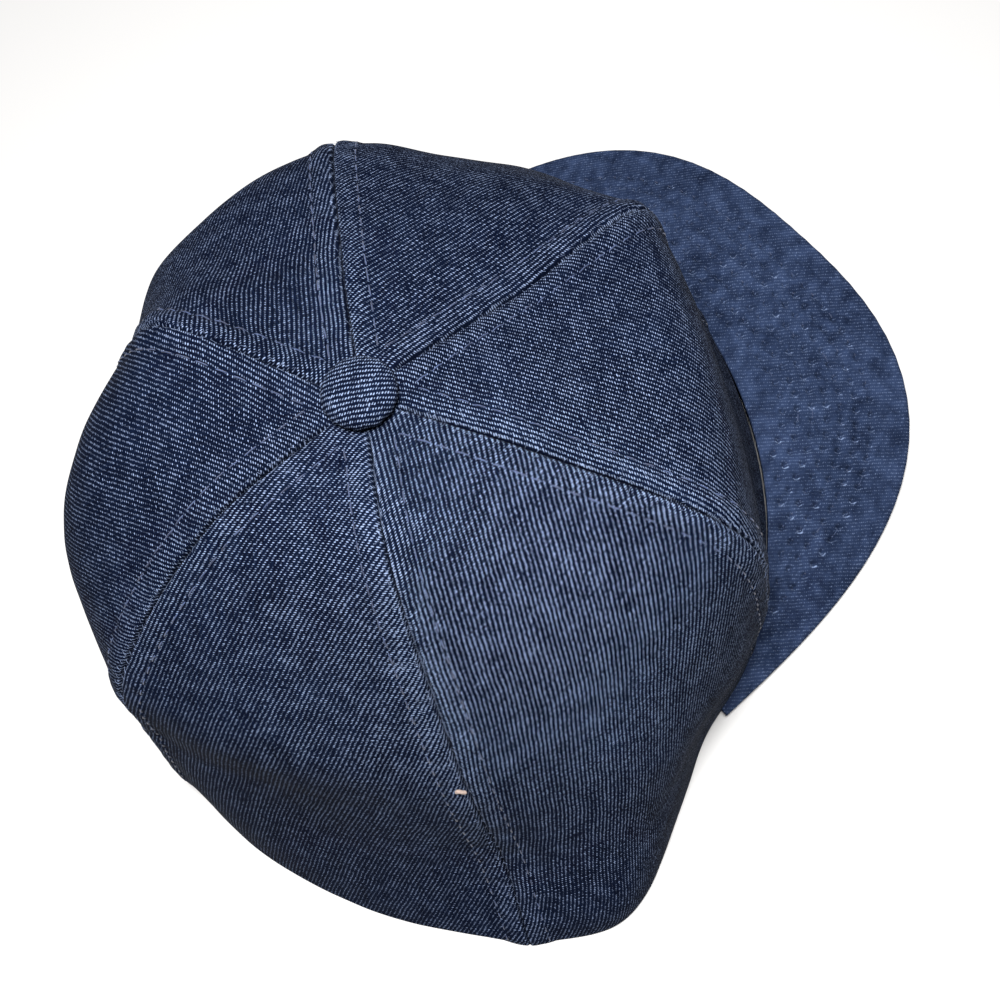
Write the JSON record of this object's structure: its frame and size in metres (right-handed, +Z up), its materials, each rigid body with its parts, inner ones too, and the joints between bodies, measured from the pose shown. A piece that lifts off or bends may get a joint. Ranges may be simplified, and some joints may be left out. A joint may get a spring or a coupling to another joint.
{
  "type": "six-panel denim baseball cap",
  "caption": "Soft denim cap with a crown of shaped panels, raised topstitched seams, a cloth-covered button and a short bent visor.",
  "frame": {"origin": "middle of the head opening, on the surface that the cap lies on", "axes": "-Y to the front, where the visor is, +X to the wearer's left, +Z up to the button"},
  "size_m": [0.2013, 0.2353, 0.1165],
  "materials": {
    "crown_denim": "dark indigo denim, matt, right-hand twill",
    "visor_denim": "dark indigo denim over a stiff board, matt, rows of stitching",
    "button_denim": "dark indigo denim over a button, matt"
  },
  "bodies": {
    "root": {"panel_front_left": "crown_denim", "panel_side_left": "crown_denim", "panel_back_left": "crown_denim", "panel_back_right": "crown_denim", "panel_side_right": "crown_denim", "panel_front_right": "crown_denim", "visor": "visor_denim", "button": "button_denim"}
  },
  "joints": []
}
